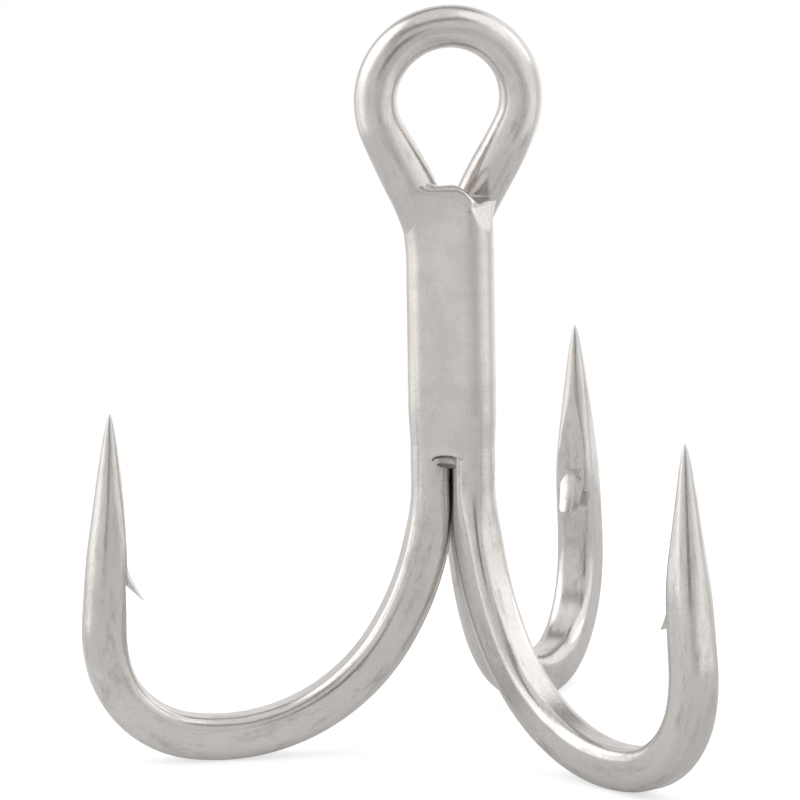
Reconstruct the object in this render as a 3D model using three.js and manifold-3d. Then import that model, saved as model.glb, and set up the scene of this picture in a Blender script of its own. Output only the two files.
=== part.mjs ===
// Treble hook. A double hook is bent from one wire around its eye, and a single hook is
// brazed into the groove between the double hook's two shanks.
//
// Frame, in millimetres: +Z runs up the shank to the eye, and the origin is on the shank axis,
// level with the middle of the eye. The eye opens along Y. The left hook points along -X, and
// the front and back hooks follow at 120 degree steps around the shank.

import * as THREE from "three";
import { mergeVertices } from "three/addons/utils/BufferGeometryUtils.js";
import Module from "manifold-3d";

// ---- Wire ----
const wireDiameter = 2.5;
const brazeGap = 0.1; // between neighbouring wires in the shank: a brazing gap
const flatDepth = 0.04; // how deep each side flat is pressed into the forged bends
const flatSpread = 0.03; // how far the pressed metal spreads on each edge, in the hook's plane
const forgedCornerRadius = 0.72;
const forgingRamp = 4; // length of bend over which the round wire turns into the forged one

// ---- Eye ----
const eyeHoleRadius = 3.05;
const eyeLean = 0.26; // the loop's middle is this far from the shank axis, towards the left hook
// Each neck has its straight side's slope, the flare below it, and the extra half width where
// the wire is upset by its sharpest bend.
const leftNeck = { angle: 26.5, radius: 10.6, swell: 0.2 };
const rightNeck = { angle: 24.5, radius: 5.6, swell: 0.13 };

// ---- Shank, in a chain of heights from the eye's hole down ----
const throatHeight = 2.4; // from the round of the hole down to the web that closes it
const webHeight = 1.95;
const singleTopDrop = 0.6; // from the web's top to the top end of the single hook's wire
const singleTopChamfer = 0.35;
const brazeTopDrop = 0.35; // from the single wire's top to the fillets beside it
const bendDepth = 22.7; // below the eye's middle, where the three wires start to part
const bareShank = 1.0; // from the end of the braze metal to the start of the bends

// ---- Braze metal ----
const seatGap = 0.05; // between a wire and the braze metal cast around it
const brazeCoat = 0.11; // how far the braze metal stands over the wires
const lipGap = 0.04; // where two fillets meet on the outside of a wire
const webHalfThickness = 1.1;
const dimple = { radius: 0.75, depth: 0.3, raise: 0.1 }; // hollow in the front fillet's lower end

// ---- Bend: four arcs, each with its radius and the angle it turns, then the leg ----
const bendArcs = [
  { radius: 17.4, turn: 32.6 },
  { radius: 11.75, turn: 67.3 },
  { radius: 5.9, turn: 68.0 },
  { radius: 9.2, turn: 16.2 },
];
const legLength = { left: 12.4, front: 12.85, back: 12.65 }; // from the last arc to the tip
const legFlare = 3; // degrees that the leg turns outwards along its length

// ---- Point and barb, as distances from the tip ----
const pointLength = 8.9;
const pointPower = 0.68; // 1 would be a cone, and less is a fuller point
const tipRadius = 0.03;
const roundLength = 2.7; // at the tip, where the point is round in section
const barbRoot = 8.8;
const barbBend = 10.05; // where the barb's underside leaves the leg
const barbEnd = 11.05;
const barbReach = 0.98; // how far the barb's end stands off the wire
const barbCurl = 0.42; // share of the reach that the barb has made at its bend
const barbThickness = 0.36;
const barbSink = 0.025; // its root starts this far under the leg's surface
const barbWidth = 1.5;
const cutDepth = 0.26;
const cutLength = 2.9; // from the barb's bend to where the cut fades into the leg

// ---- Mesh ----
const SIDES = 16; // of the wire's section, a multiple of 4
const BEND_STEP = 8; // degrees of turn for each step along a bend
const EYE_STEP = 12;
const POINT_STEPS = 9;
const STRAIGHT_STEPS = 3; // along each straight side of the eye
const NECK_STEPS = 5;
const SHANK_STEPS = 4;
const COAT_SEGMENTS = 5;

const rad = THREE.MathUtils.degToRad;
const UP = new THREE.Vector3(0, 0, 1);
const wireRadius = wireDiameter / 2;
const acrossFlats = wireDiameter - 2 * flatDepth;
const forgedHeight = wireDiameter + 2 * flatSpread;

// Depths below the middle of the eye. The left rear fillet and the core stop under the web.
const throatDepth = eyeHoleRadius + throatHeight;
const webBottomDepth = throatDepth + webHeight;
const rearTopDepth = webBottomDepth + seatGap;
const singleTopDepth = throatDepth + singleTopDrop;
const brazeTopDepth = singleTopDepth + brazeTopDrop;
const brazeBottomDepth = bendDepth - bareShank;

// The three wires touch across the brazing gap, so their centres are corners of a triangle.
const shankRadius = (wireDiameter + brazeGap) / Math.sqrt(3);
const HOOK_ANGLE = { left: 180, front: 300, back: 60 };

// A wire's outward direction from the shank axis, and the normal of its hook's plane, which is
// taken the way that leans towards +Y so that it runs on from the eye's own normal.
function outwardOf(name) {
  const angle = rad(HOOK_ANGLE[name]);
  return new THREE.Vector3(Math.cos(angle), Math.sin(angle), 0);
}

function sideOf(name) {
  const side = new THREE.Vector3().crossVectors(UP, outwardOf(name));
  return side.y < 0 ? side.negate() : side;
}

const wasm = await Module();
wasm.setup();

// ---- Paths ----

// Follows straight and curved moves in a plane of a (outwards) and z (up). Heading 0 is straight
// down, and a positive turn goes outwards. Each move gives its own number of steps.
function tracePath(start, moves) {
  let { a, z, heading } = start;
  let travelled = 0;
  const samples = [{ a, z, heading, travelled }];
  for (const move of moves) {
    const from = { a, z, heading, travelled };
    for (let i = 1; i <= move.steps; i++) {
      const share = i / move.steps;
      if (move.turn) {
        heading = from.heading + rad(move.turn) * share;
        const signedRadius = move.radius * Math.sign(move.turn);
        a = from.a + signedRadius * (Math.cos(from.heading) - Math.cos(heading));
        z = from.z + signedRadius * (Math.sin(from.heading) - Math.sin(heading));
        travelled = from.travelled + move.radius * Math.abs(rad(move.turn)) * share;
      } else {
        a = from.a + Math.sin(from.heading) * move.length * share;
        z = from.z - Math.cos(from.heading) * move.length * share;
        travelled = from.travelled + move.length * share;
      }
      samples.push({ a, z, heading, travelled });
    }
  }
  return samples;
}

function arcMove(radius, turn, stepAngle) {
  return { radius, turn, steps: Math.max(1, Math.ceil(Math.abs(turn) / stepAngle)) };
}

// The wire's half width at a distance from the tip: full, or following the point's power law.
function halfWidthAt(fromTip) {
  return wireRadius * Math.min(1, (fromTip / pointLength) ** pointPower);
}

const tipCut = pointLength * (tipRadius / wireRadius) ** (1 / pointPower);

// Distances from the tip at which the leg has a section, closer together towards the tip.
function legDistances(length) {
  const distances = [(length + pointLength) / 2];
  for (let i = POINT_STEPS; i >= 0; i--) {
    distances.push(tipCut + (pointLength - tipCut) * (i / POINT_STEPS) ** 2);
  }
  return distances;
}

// The bend's samples in the hook's own plane, from the shank's end to the start of the leg.
const bendSamples = tracePath(
  { a: shankRadius, z: -bendDepth, heading: 0 },
  bendArcs.map((arc) => arcMove(arc.radius, arc.turn, BEND_STEP)),
).map((sample) => ({
  ...sample,
  forged: THREE.MathUtils.smoothstep(sample.travelled, 0, forgingRamp),
  halfWidth: wireRadius,
}));

// The leg's flare is one long arc, so a point on the leg is found from its distance to the tip.
// Past the leg's start, the same distance runs back along the last arc of the bend.
function legSample(name, fromTip) {
  const length = legLength[name];
  const onLeg = fromTip <= length;
  const signedRadius = onLeg ? -length / rad(legFlare) : bendArcs.at(-1).radius;
  const start = bendSamples.at(-1);
  const heading = start.heading + (length - fromTip) / signedRadius;
  const a = start.a + signedRadius * (Math.cos(start.heading) - Math.cos(heading));
  const z = start.z + signedRadius * (Math.sin(start.heading) - Math.sin(heading));
  const forged = THREE.MathUtils.smoothstep(fromTip, roundLength, pointLength);
  return { a, z, heading, forged, halfWidth: halfWidthAt(fromTip) };
}

function hookSamples(name) {
  return [
    ...bendSamples,
    ...legDistances(legLength[name]).map((fromTip) => legSample(name, fromTip)),
  ];
}

// ---- Stations: where a section of wire stands in space ----

function station(position, tangent, side, sample) {
  const trueSide = side.clone().addScaledVector(tangent, -side.dot(tangent)).normalize();
  return { position, tangent, side: trueSide, ...sample };
}

function hookStations(name) {
  const outward = outwardOf(name);
  return hookSamples(name).map((sample) => {
    const position = outward.clone().multiplyScalar(sample.a).setZ(sample.z);
    const tangent = outward
      .clone()
      .multiplyScalar(Math.sin(sample.heading))
      .setZ(-Math.cos(sample.heading));
    return station(position, tangent, sideOf(name), sample);
  });
}

// One side of the eye, from the top of the loop down to the start of the bend. The loop lies
// in the XZ plane. Below it the strand moves across to its own place in the shank, and is there
// by the depth where the single hook's wire begins beside it.
function strandStations(name, neck) {
  const mirror = Math.sign(outwardOf(name).x);
  const target = outwardOf(name).multiplyScalar(shankRadius);
  const loopRadius = eyeHoleRadius + wireRadius;
  const shankReach = target.x * mirror + eyeLean * mirror;
  const slope = rad(neck.angle);
  const flareWidth = neck.radius * (1 - Math.cos(slope));
  const straight = (loopRadius * Math.cos(slope) - shankReach - flareWidth) / Math.sin(slope);
  const samples = tracePath({ a: 0, z: loopRadius, heading: Math.PI / 2 }, [
    arcMove(loopRadius, -(90 + neck.angle), EYE_STEP),
    { length: straight, steps: STRAIGHT_STEPS },
    arcMove(neck.radius, neck.angle, EYE_STEP / 2),
  ]);
  const neckStart = -loopRadius * Math.sin(slope);
  const neckEnd = samples.at(-1).z;
  for (let i = 1; i < SHANK_STEPS; i++) {
    const z = THREE.MathUtils.lerp(neckEnd, -bendDepth, i / SHANK_STEPS);
    samples.push({ a: shankReach, z, heading: 0 });
  }
  const positions = samples.map(({ a, z }) => {
    const across = THREE.MathUtils.smoothstep(z, -singleTopDepth - wireRadius / 2, neckStart);
    return new THREE.Vector3(a * mirror - eyeLean, target.y * (1 - across), z);
  });
  return samples.map(({ z, heading }, i) => {
    const before = positions[Math.max(i - 1, 0)];
    const after = positions[Math.min(i + 1, positions.length - 1)];
    const tangent = new THREE.Vector3(Math.sin(heading) * mirror, 0, -Math.cos(heading));
    if (z < neckStart) tangent.subVectors(after, before).normalize();
    // The sections turn from the eye's plane to the hook's plane along the shank.
    const turned = THREE.MathUtils.smoothstep(-z, -neckEnd, bendDepth);
    const side = new THREE.Vector3(0, 1, 0).lerp(sideOf(name), turned).normalize();
    const swell = Math.sin(Math.PI * THREE.MathUtils.clamp((z - neckEnd) / -neckEnd, 0, 1)) ** 2;
    return station(positions[i], tangent, side, {
      forged: 0,
      halfWidth: wireRadius,
      swell: neck.swell * swell,
    });
  });
}

function reversed(stations) {
  return stations.toReversed().map((s) => ({ ...s, tangent: s.tangent.clone().negate() }));
}

const leftStrand = strandStations("left", leftNeck);
const backStrand = strandStations("back", rightNeck);
const neckEnds = [leftStrand, backStrand].map((strand) => strand.at(-SHANK_STEPS).position.z);
const neckBottomDepth = -Math.min(...neckEnds);

function doubleStations() {
  const left = [...leftStrand, ...hookStations("left")];
  const back = [...backStrand, ...hookStations("back")];
  return [...reversed(left), ...back.slice(1)];
}

// The wire's top end is square with a chamfer, and is raised where a seat is cut around it.
function singleStations(raise = 0) {
  const hook = hookStations("front");
  const top = hook[0].position.clone();
  const down = new THREE.Vector3(0, 0, -1);
  const depths = [0, singleTopChamfer, (bendDepth - singleTopDepth) / 2];
  const shank = depths.map((depth, i) => {
    const position = top.clone().setZ(raise - singleTopDepth - depth);
    const halfWidth = i === 0 ? wireRadius - singleTopChamfer : wireRadius;
    return station(position, down, sideOf("front"), { forged: 0, halfWidth });
  });
  return [...shank, ...hook];
}

// ---- Sections ----

// A corner of the wire's section: x is across the flats and y is in the hook's plane. It lies
// between the round wire's corner and the forged one's by the station's forged share.
function sectionCorner(index, { forged, halfWidth, swell = 0 }, grow) {
  const perQuarter = SIDES / 4;
  const quarter = Math.floor(index / perQuarter);
  const roundAngle = ((index + 0.5) / SIDES) * 2 * Math.PI;
  const cornerAngle = (quarter + (index % perQuarter) / (perQuarter - 1)) * (Math.PI / 2);
  const round = new THREE.Vector2(Math.cos(roundAngle), Math.sin(roundAngle));
  const forgedCorner = new THREE.Vector2(Math.cos(cornerAngle), Math.sin(cornerAngle))
    .multiplyScalar(forgedCornerRadius + grow);
  forgedCorner.x += Math.sign(round.x) * (acrossFlats / 2 - forgedCornerRadius);
  forgedCorner.y += Math.sign(round.y) * (forgedHeight / 2 - forgedCornerRadius);
  const corner = round.multiplyScalar(wireRadius + grow).lerp(forgedCorner, forged);
  corner.multiplyScalar(halfWidth / wireRadius);
  corner.y *= 1 + swell / wireRadius;
  return corner;
}

// Sweeps the wire's section through its stations. A straight rod with one step for each station
// is extruded, and each of its rings is then moved to its station.
function sweepWire(stations, grow = 0) {
  const outline = Array.from({ length: SIDES }, (_, i) => {
    const angle = ((i + 0.5) / SIDES) * 2 * Math.PI;
    return new THREE.Vector2(Math.cos(angle), Math.sin(angle));
  });
  const steps = stations.length - 1;
  const rod = new THREE.ExtrudeGeometry(new THREE.Shape(outline), {
    depth: steps,
    steps,
    bevelEnabled: false,
  });
  const position = rod.getAttribute("position");
  const point = new THREE.Vector3();
  for (let i = 0; i < position.count; i++) {
    point.fromBufferAttribute(position, i);
    const angle = (Math.atan2(point.y, point.x) + 2 * Math.PI) % (2 * Math.PI);
    const index = Math.floor((angle / (2 * Math.PI)) * SIDES);
    const at = stations[Math.round(point.z)];
    const corner = sectionCorner(index, at, grow);
    const out = new THREE.Vector3().crossVectors(at.tangent, at.side);
    point.copy(at.position).addScaledVector(at.side, corner.x).addScaledVector(out, corner.y);
    position.setXYZ(i, point.x, point.y, point.z);
  }
  return rod;
}

// ---- Solids: cutting and joining ----

function toSolid(geometry) {
  const plain = geometry.clone();
  plain.deleteAttribute("normal");
  plain.deleteAttribute("uv");
  const merged = mergeVertices(plain, 1e-5);
  return new wasm.Manifold(
    new wasm.Mesh({
      numProp: 3,
      vertProperties: merged.attributes.position.array,
      triVerts: new Uint32Array(merged.index.array),
    }),
  );
}

function toGeometry(solid) {
  const { vertProperties, triVerts } = solid.getMesh();
  const geometry = new THREE.BufferGeometry();
  geometry.setAttribute("position", new THREE.BufferAttribute(vertProperties, 3));
  geometry.setIndex(new THREE.BufferAttribute(triVerts, 1));
  const flat = geometry.toNonIndexed();
  flat.computeVertexNormals();
  return flat;
}

// ---- Barb ----

// A slab with its outline in a hook's plane. The outline gives distances from the tip and
// distances inwards from the middle of the leg.
function legSlab(name, outline, width) {
  const points = outline.map(([fromTip, inwards]) => {
    const { a, z, heading } = legSample(name, fromTip);
    return new THREE.Vector2(
      a + Math.cos(heading) * inwards,
      z + Math.sin(heading) * inwards,
    );
  });
  if (THREE.ShapeUtils.isClockWise(points)) points.reverse();
  const slab = new THREE.ExtrudeGeometry(new THREE.Shape(points), {
    depth: width,
    bevelEnabled: false,
  });
  slab.translate(0, 0, -width / 2);
  const across = new THREE.Vector3().crossVectors(outwardOf(name), UP);
  return slab.applyMatrix4(new THREE.Matrix4().makeBasis(outwardOf(name), UP, across));
}

// The barb is a tongue of the wire's own metal, lifted from the inside of the leg towards the
// shank, with the cut it came from below it. The cut starts at the barb's bend and rises to
// the leg's surface.
function withBarb(solid, name) {
  const surface = forgedHeight / 2;
  const rootSurface = surface * (halfWidthAt(barbRoot) / wireRadius);
  const cutBottom = [barbBend, surface - cutDepth];
  const cutShare = cutDepth / (cutDepth + barbReach);
  const mouth = barbBend + cutShare * (barbEnd - barbBend);
  const tongue = [
    [barbRoot, rootSurface - barbThickness],
    [barbRoot, rootSurface - barbSink],
    [barbBend, surface + barbCurl * barbReach],
    [barbEnd, surface + barbReach],
    cutBottom,
  ];
  const cut = [
    cutBottom,
    [mouth, surface],
    [mouth, surface + cutDepth],
    [barbBend + cutLength, surface + cutDepth],
    [barbBend + cutLength, surface],
  ];
  const clear = legSlab(name, cut, wireDiameter);
  return solid.subtract(toSolid(clear)).add(toSolid(legSlab(name, tongue, barbWidth)));
}

// ---- Braze metal ----

const doubleWire = doubleStations();
const singleWire = singleStations();
const grownWires = [doubleWire, singleStations(seatGap)].map((stations) =>
  toSolid(sweepWire(stations, seatGap)),
);

// Where a wire's middle is at a height in the shank or the neck, and which way it leans there.
function wireAt(name, z) {
  const home = outwardOf(name).multiplyScalar(shankRadius);
  const upright = { centre: home, lean: new THREE.Vector2(), stretch: 1 };
  if (name === "front") return upright;
  const strand = name === "left" ? leftStrand : backStrand;
  const below = strand.findIndex((s) => s.position.z <= z);
  if (below < 1) return upright;
  const [lower, upper] = [strand[below].position, strand[below - 1].position];
  const centre = lower.clone().lerp(upper, (z - lower.z) / (upper.z - lower.z));
  const along = new THREE.Vector3().subVectors(upper, lower).normalize();
  const lean = new THREE.Vector2(along.x, along.y).normalize();
  return { centre, lean, stretch: (1 + (strand[below].swell / wireRadius)) / along.z };
}

// Extrudes a section of the shank between depths. Each corner of the section belongs to the wire
// nearest to it, and follows that wire where it leaves the shank for the eye: a level cut through
// a leaning wire is longer the way it leans.
function castAlongShank(shape, depths) {
  const steps = depths.length - 1;
  const cast = new THREE.ExtrudeGeometry(shape, {
    depth: steps,
    steps,
    curveSegments: COAT_SEGMENTS,
    bevelEnabled: false,
  });
  const names = Object.keys(HOOK_ANGLE);
  const homes = names.map((name) => outwardOf(name).multiplyScalar(shankRadius));
  const wires = depths.map((depth) => names.map((name) => wireAt(name, -depth)));
  const position = cast.getAttribute("position");
  const offset = new THREE.Vector2();
  for (let i = 0; i < position.count; i++) {
    const reach = homes.map(({ x, y }) => Math.hypot(position.getX(i) - x, position.getY(i) - y));
    const nearest = reach.indexOf(Math.min(...reach));
    const level = Math.round(position.getZ(i));
    const { centre, lean, stretch } = wires[level][nearest];
    offset.set(position.getX(i) - homes[nearest].x, position.getY(i) - homes[nearest].y);
    offset.addScaledVector(lean, offset.dot(lean) * (stretch - 1));
    position.setXYZ(i, centre.x + offset.x, centre.y + offset.y, -depths[level]);
  }
  return toSolid(cast);
}

function cutToWires(solid) {
  return grownWires.reduce((rest, wire) => rest.subtract(wire), solid);
}

// Depths from the bottom up, with one step along the straight shank and short ones in the neck.
function neckDepths(bottom, top) {
  const depths = [bottom];
  for (let i = 0; i <= NECK_STEPS; i++) {
    depths.push(THREE.MathUtils.lerp(neckBottomDepth, top, i / NECK_STEPS));
  }
  return depths;
}

// The fillet between two neighbouring wires. Its outline runs from the first wire's middle out
// over that wire, straight across to the second wire, and back to that wire's middle.
function filletShape(first, second) {
  const angles = [rad(HOOK_ANGLE[first]), rad(HOOK_ANGLE[second])];
  if (angles[1] < angles[0]) angles[1] += 2 * Math.PI;
  const middle = (angles[0] + angles[1]) / 2;
  const [from, to] = angles.map((angle) => new THREE.Vector2(shankRadius, 0).rotateAround(
    new THREE.Vector2(),
    angle,
  ));
  const coatRadius = wireRadius + brazeCoat;
  const trim = lipGap / 2 / coatRadius;
  const shape = new THREE.Shape();
  shape.moveTo(from.x, from.y);
  shape.absarc(from.x, from.y, coatRadius, angles[0] + trim, middle, false);
  shape.absarc(to.x, to.y, coatRadius, middle, angles[1] - trim, false);
  shape.lineTo(to.x, to.y);
  return shape;
}

function fillet(first, second, topDepth) {
  const depths = neckDepths(brazeBottomDepth, topDepth);
  return cutToWires(castAlongShank(filletShape(first, second), depths));
}

// The front fillet's lower end has the hollow that the molten metal left as it shrank.
function frontFillet() {
  const angle = rad((HOOK_ANGLE.left + HOOK_ANGLE.front) / 2);
  const face = shankRadius / 2 + wireRadius + brazeCoat;
  const reach = face + dimple.radius - dimple.depth;
  const hollow = new THREE.SphereGeometry(dimple.radius, SIDES, SIDES / 2);
  const z = dimple.raise - brazeBottomDepth;
  hollow.translate(Math.cos(angle) * reach, Math.sin(angle) * reach, z);
  return fillet("left", "front", brazeTopDepth).subtract(toSolid(hollow));
}

// The channel that the three wires leave between them, filled from end to end. Its corners stop
// a little short of the wires' middles, so that it stays clear of the fillets.
function brazeCore() {
  const corners = Object.keys(HOOK_ANGLE)
    .map((name) => outwardOf(name).multiplyScalar(shankRadius - seatGap))
    .map(({ x, y }) => new THREE.Vector2(x, y));
  if (THREE.ShapeUtils.isClockWise(corners)) corners.reverse();
  const depths = neckDepths(brazeBottomDepth, rearTopDepth);
  return cutToWires(castAlongShank(new THREE.Shape(corners), depths));
}

// The web closes the throat of the eye, between the double hook's two strands.
function throatWeb() {
  const left = outwardOf("left").multiplyScalar(shankRadius);
  const back = outwardOf("back").multiplyScalar(shankRadius);
  const shape = new THREE.Shape([
    new THREE.Vector2(left.x, left.y - webHalfThickness),
    new THREE.Vector2(back.x, back.y - webHalfThickness),
    new THREE.Vector2(back.x, back.y + webHalfThickness),
    new THREE.Vector2(left.x, left.y + webHalfThickness),
  ]);
  const depths = [webBottomDepth, (webBottomDepth + throatDepth) / 2, throatDepth];
  return cutToWires(castAlongShank(shape, depths));
}

// ---- Assembly ----

const FINISHES = {
  tinnedWire: { color: 0xc7c4bf, roughness: 0.32, metalness: 1 },
  tinnedBraze: { color: 0xc2c0bc, roughness: 0.4, metalness: 1 },
};

function piece(name, solid, finish) {
  const mesh = new THREE.Mesh(
    toGeometry(solid),
    new THREE.MeshStandardMaterial(FINISHES[finish]),
  );
  mesh.name = name;
  return mesh;
}

const doubleSolid = ["left", "back"].reduce(withBarb, toSolid(sweepWire(doubleWire)));
const singleSolid = withBarb(toSolid(sweepWire(singleWire)), "front");

const group = new THREE.Group();
group.name = "treble_hook";
group.add(piece("double_hook_wire", doubleSolid, "tinnedWire"));
group.add(piece("single_hook_wire", singleSolid, "tinnedWire"));
group.add(piece("front_braze_fillet", frontFillet(), "tinnedBraze"));
group.add(piece("left_rear_braze_fillet", fillet("back", "left", rearTopDepth), "tinnedBraze"));
group.add(piece("right_rear_braze_fillet", fillet("front", "back", brazeTopDepth), "tinnedBraze"));
group.add(piece("braze_core", brazeCore(), "tinnedBraze"));
group.add(piece("eye_throat_web", throatWeb(), "tinnedBraze"));

export default group;
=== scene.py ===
# %% [markdown]
# # A treble hook in tinned wire
# This lesson finishes a treble fishing hook whose construction is already fixed. The fixed
# model gives the pieces, their sizes and their places. Here each piece gets a finer mesh and
# a plated metal surface, in the same frame: metres, +Z up the shank, and the origin on the
# shank's axis, level with the middle of the eye.

import itertools
import math

import bmesh
import bpy
import numpy as np
from mathutils import Matrix, Vector


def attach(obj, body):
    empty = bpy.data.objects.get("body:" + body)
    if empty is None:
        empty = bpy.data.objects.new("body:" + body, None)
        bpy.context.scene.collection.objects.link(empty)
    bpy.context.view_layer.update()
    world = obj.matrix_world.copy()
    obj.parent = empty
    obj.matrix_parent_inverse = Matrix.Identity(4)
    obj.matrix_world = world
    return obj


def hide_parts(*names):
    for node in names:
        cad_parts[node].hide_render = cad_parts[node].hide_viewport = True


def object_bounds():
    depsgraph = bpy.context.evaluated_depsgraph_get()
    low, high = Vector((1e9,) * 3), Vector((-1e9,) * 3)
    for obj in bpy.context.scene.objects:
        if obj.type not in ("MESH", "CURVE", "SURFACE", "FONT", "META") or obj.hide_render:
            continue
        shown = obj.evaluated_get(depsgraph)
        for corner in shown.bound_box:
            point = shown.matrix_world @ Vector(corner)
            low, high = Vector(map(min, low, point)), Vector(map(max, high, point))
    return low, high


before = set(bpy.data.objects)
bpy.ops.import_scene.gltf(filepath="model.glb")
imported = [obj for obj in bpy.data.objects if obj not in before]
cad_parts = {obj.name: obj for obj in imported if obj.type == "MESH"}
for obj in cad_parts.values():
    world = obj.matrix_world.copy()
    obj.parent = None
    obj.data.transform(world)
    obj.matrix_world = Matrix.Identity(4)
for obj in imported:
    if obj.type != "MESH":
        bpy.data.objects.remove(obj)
cad_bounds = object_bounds()
print("fixed pieces:", sorted(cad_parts))

# %% [markdown]
# ## Sizes
# All lengths in the making are in millimetres, because a maker thinks of a hook that way. They
# turn into metres only where a mesh is made. The three wires lie as close as a brazing gap
# lets them, so their middles are the corners of an equilateral triangle.

# %% Sizes of the wire and the shank
MM = 0.001
WIRE_RADIUS = 1.25
BRAZE_GAP = 0.1
SHANK_RADIUS = (2 * WIRE_RADIUS + BRAZE_GAP) / math.sqrt(3)  # from its axis to a wire's middle
HOOK_ANGLE = {"left": 180, "front": 300, "back": 60}  # around the shank, in degrees from +X
UP = np.array([0.0, 0.0, 1.0])
print(f"wires' middles are {SHANK_RADIUS:.3f} mm from the shank's axis")

# %% [markdown]
# ## Directions
# Each hook lies in an upright plane through the shank's axis. One direction points outwards in
# that plane. The other points across it, and always to the back, so that no wire's section
# twists where one stretch of it runs into the next.

# %% Directions around the shank


def outward_of(name):
    angle = math.radians(HOOK_ANGLE[name])
    return np.array([math.cos(angle), math.sin(angle), 0.0])


def side_of(name):
    side = np.cross(UP, outward_of(name))
    return -side if side[1] < 0 else side


print("the front hook points along", outward_of("front").round(3))

# %% [markdown]
# ## Following a wire
# A bent wire is a line of arcs and straights, and a section that travels along it. Blender can
# sweep a bevelled curve, but a curve gives no control over a section that changes from round to
# forged and then to a point. So the wire is made from a list of stations, each with its
# place, its direction and its section, and a skin of quads stretched from station to station.
# A bend is four arcs, of which the third is the tightest.

# %% Paths of arcs and straights
STEP = 0.25  # length of wire between stations
BEND_ARCS = [(17.4, 32.6), (11.75, 67.3), (5.9, 68.0), (9.2, 16.2)]  # radius, degrees of turn
BEND_DEPTH = 22.7  # below the middle of the eye, where the wires start to part


def trace(start, moves):
    """Rows of (outwards, height, heading, length so far). Heading 0 is down, turning outwards.

    A move is (radius, degrees of turn) for an arc, and (None, length) for a straight.
    """
    rows = [start]
    for radius, amount in moves:
        a, z, heading, travelled = rows[-1]
        straight = radius is None
        length = amount if straight else radius * abs(math.radians(amount))
        steps = max(2, round(length / STEP))
        for share in np.arange(1, steps + 1) / steps:
            if straight:
                to = heading
                da, dz = math.sin(heading) * length * share, -math.cos(heading) * length * share
            else:
                to = heading + math.radians(amount) * share
                signed = math.copysign(radius, amount)
                da = signed * (math.cos(heading) - math.cos(to))
                dz = signed * (math.sin(heading) - math.sin(to))
            rows.append((a + da, z + dz, to, travelled + length * share))
    return rows


bend_rows = trace((SHANK_RADIUS, -BEND_DEPTH, 0.0, 0.0), BEND_ARCS)
print(f"a bend has {len(bend_rows)} stations over {bend_rows[-1][3]:.1f} mm")

# %% [markdown]
# ## Point and leg
# The leg leaves the bend leaning in towards the shank, and straightens up in one wide arc. Its
# point is ground round, to a curve that is fuller than a cone, and a power of the distance from
# the tip gives that curve. All places on the leg are distances from the tip, since that is how
# a point and a barb are set.

# %% The leg's line and its thickness
LEG_LENGTH = {"left": 12.4, "front": 12.85, "back": 12.65}
LEG_FLARE = 3  # degrees by which the leg straightens
POINT_LENGTH = 8.9
POINT_POWER = 0.68  # 1 would be a cone
TIP_RADIUS = 0.03
TIP_CUT = POINT_LENGTH * (TIP_RADIUS / WIRE_RADIUS) ** (1 / POINT_POWER)


def ground_radius(from_tip):
    """The radius that the grinding leaves. It goes on growing where it has left the metal."""
    return WIRE_RADIUS * (from_tip / POINT_LENGTH) ** POINT_POWER


def leg_row(name, from_tip):
    """How far out the leg's middle lies, its height and its heading."""
    length = LEG_LENGTH[name]
    a, z, heading, _ = bend_rows[-1]
    turned = math.radians(-LEG_FLARE) * (length - from_tip) / length
    signed = -length / math.radians(LEG_FLARE)
    to = heading + turned
    a += signed * (math.cos(heading) - math.cos(to))
    z += signed * (math.sin(heading) - math.sin(to))
    return a, z, to


print(f"the tip is blunted {TIP_CUT:.3f} mm from where it would end")

# %% Stations up the leg
FINE_STEP = 0.12
EVEN_END = 0.6  # this near the tip, the stations start to crowd together
TIP_STATIONS = 8
TIP_CROWDING = 1.5


def leg_distances(name):
    even = np.arange(LEG_LENGTH[name] - FINE_STEP, EVEN_END, -FINE_STEP)
    shares = np.linspace(1, 0, TIP_STATIONS + 1)[1:] ** TIP_CROWDING
    return np.array([*even, *(TIP_CUT + (even[-1] - TIP_CUT) * shares)])


print("stations up each leg:", {name: len(leg_distances(name)) for name in LEG_LENGTH})

# %% [markdown]
# ## What the barb's tool leaves
# The barb is not a separate piece: a chisel slices under the inside of the wire and lifts a
# tongue of it. That leaves a flat under the tongue, which runs out down the leg, and a flat
# above it where the tool pressed. Both only limit how far the inside of the leg may stand from
# its middle, so the skin can be made with them and nothing has to be cut away later.

# %% The flats beside the barb
FORGED_HALF = 1.28  # half the forged section's height, in the hook's plane
PRESS_START = 4.5
PRESS_DEPTH = 0.1
BARB_BEND = 10.05  # where the tongue leaves the leg
CUT_DEPTH = 0.26
CUT_LENGTH = 2.9


def inner_limit(from_tip):
    """How far the inside of the leg may stand from its middle, at each distance from the tip."""
    pressed_end = FORGED_HALF - PRESS_DEPTH
    start = ground_radius(PRESS_START)
    pressed = start + (pressed_end - start) * (from_tip - PRESS_START) / (BARB_BEND - PRESS_START)
    cut = FORGED_HALF - CUT_DEPTH * (1 - (from_tip - BARB_BEND) / CUT_LENGTH)
    limit = np.where(from_tip < BARB_BEND, pressed, cut)
    free = (from_tip < PRESS_START) | (from_tip > BARB_BEND + CUT_LENGTH)
    return np.where(free, np.inf, limit)


print(f"the cut under the barb ends {BARB_BEND + CUT_LENGTH:.2f} mm from the tip")

# %% [markdown]
# ## The eye and the neck
# The eye is bent first, around a round pin, in the middle of the double hook's wire. Each side
# then runs straight down to the shank and flares into it. The metal swells a little where it is
# bent most sharply. Below the eye the two sides also move apart in depth, because the shank
# stacks its three wires in a triangle while the eye lies flat.

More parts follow.
